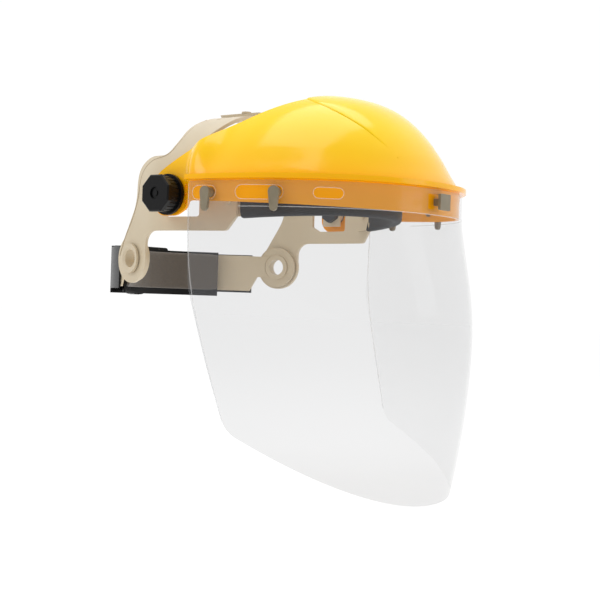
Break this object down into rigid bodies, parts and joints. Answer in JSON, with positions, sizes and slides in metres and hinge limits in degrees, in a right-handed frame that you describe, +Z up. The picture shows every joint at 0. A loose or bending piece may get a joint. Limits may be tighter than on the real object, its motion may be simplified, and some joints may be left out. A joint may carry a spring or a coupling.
{
  "type": "face shield",
  "caption": "Face shield: a domed browguard with a clear curved visor that lifts on side pivots of an adjustable headgear with a sweatband and nape ratchet.",
  "frame": {"origin": "on the visor's pivot axis, midway between the two pivots", "axes": "+Z up as worn, -Y the way the wearer faces, +X the wearer's left"},
  "size_m": [0.2262, 0.3081, 0.2795],
  "materials": {
    "shell_yellow": "glossy moulded plastic, yellow",
    "visor_clear": "clear moulded sheet, very faint grey",
    "frame_beige": "satin moulded plastic, beige",
    "clip_taupe": "satin moulded plastic, grey-brown",
    "knob_black": "satin moulded plastic, black",
    "washer_black": "matt rubber, black",
    "bolt_black": "blackened steel",
    "insert_brass": "turned brass",
    "sweatband_black": "padded woven fabric, black",
    "nape_brown": "brushed foam-backed fabric, grey-brown"
  },
  "bodies": {
    "headgear": {"side_frame_left": "frame_beige", "side_frame_right": "frame_beige", "crown_pegs": "frame_beige", "front_band": "frame_beige", "sweatband": "sweatband_black", "band_studs": "frame_beige", "pivot_block_left": "frame_beige", "pivot_block_right": "frame_beige", "pivot_bolt_left": "bolt_black", "pivot_bolt_right": "bolt_black", "friction_washer_left": "washer_black", "friction_washer_right": "washer_black"},
    "visor_assembly": {"browguard": "shell_yellow", "visor": "visor_clear", "button_pins": "clip_taupe", "front_hook": "clip_taupe", "seat_washer_left": "washer_black", "seat_washer_right": "washer_black"},
    "knob_left": {"knob_left": "knob_black", "knob_insert_left": "insert_brass"},
    "knob_right": {"knob_right": "knob_black", "knob_insert_right": "insert_brass"},
    "nape": {"nape_strap_left": "frame_beige", "nape_strap_right": "frame_beige", "hollow_rivet_left": "frame_beige", "hollow_rivet_right": "frame_beige", "housing_plate": "knob_black", "ratchet_housing": "knob_black", "housing_screws": "bolt_black", "pad_carrier": "knob_black", "nape_pad": "nape_brown"},
    "dial": {"ratchet_dial": "knob_black", "pinion": "knob_black"},
    "rack_upper": {"rack_upper": "knob_black"},
    "rack_lower": {"rack_lower": "knob_black"},
    "turn_button_left_rear": {"turn_button_left_rear": "clip_taupe"},
    "turn_button_left_front": {"turn_button_left_front": "clip_taupe"},
    "turn_button_right_rear": {"turn_button_right_rear": "clip_taupe"},
    "turn_button_right_front": {"turn_button_right_front": "clip_taupe"}
  },
  "joints": [
    {"name": "visor_lift", "type": "hinge", "parent": "headgear", "child": "visor_assembly", "pos_m": [0, 0, 0], "axis": [-1, 0, 0], "range_deg": [0, 80]},
    {"name": "knob_left_turn", "type": "hinge", "parent": "headgear", "child": "knob_left", "pos_m": [0.1, 0, 0], "axis": [1, 0, 0], "range_deg": [0, 180]},
    {"name": "knob_right_turn", "type": "hinge", "parent": "headgear", "child": "knob_right", "pos_m": [-0.1, 0, 0], "axis": [-1, 0, 0], "range_deg": [0, 180]},
    {"name": "nape_tilt", "type": "hinge", "parent": "headgear", "child": "nape", "pos_m": [0, 0.0487, -0.044], "axis": [1, 0, 0], "range_deg": [-12, 12]},
    {"name": "dial_turn", "type": "hinge", "parent": "nape", "child": "dial", "pos_m": [0, 0.13, -0.0497], "axis": [0, 1, 0], "range_deg": [-40, 40]},
    {"name": "rack_upper_slide", "type": "slide", "parent": "nape", "child": "rack_upper", "axis": [1, 0, 0], "range_m": [-0.005, 0.005]},
    {"name": "rack_lower_slide", "type": "slide", "parent": "nape", "child": "rack_lower", "axis": [-1, 0, 0], "range_m": [-0.005, 0.005]},
    {"name": "turn_button_left_rear_turn", "type": "hinge", "parent": "visor_assembly", "child": "turn_button_left_rear", "pos_m": [0.10475, -0.0443, 0], "axis": [0.9969, -0.0784, 0], "range_deg": [0, 90]},
    {"name": "turn_button_left_front_turn", "type": "hinge", "parent": "visor_assembly", "child": "turn_button_left_front", "pos_m": [0.09372, -0.092, 0], "axis": [0.9224, -0.3863, 0], "range_deg": [0, 90]},
    {"name": "turn_button_right_rear_turn", "type": "hinge", "parent": "visor_assembly", "child": "turn_button_right_rear", "pos_m": [-0.10475, -0.0443, 0], "axis": [-0.9969, -0.0784, 0], "range_deg": [-90, 0]},
    {"name": "turn_button_right_front_turn", "type": "hinge", "parent": "visor_assembly", "child": "turn_button_right_front", "pos_m": [-0.09372, -0.092, 0], "axis": [-0.9224, -0.3863, 0], "range_deg": [-90, 0]}
  ],
  "couplings": [
    {"joint": "rack_upper_slide", "follows": "dial_turn", "m_per_rad": 0.007},
    {"joint": "rack_lower_slide", "follows": "dial_turn", "m_per_rad": 0.007}
  ]
}
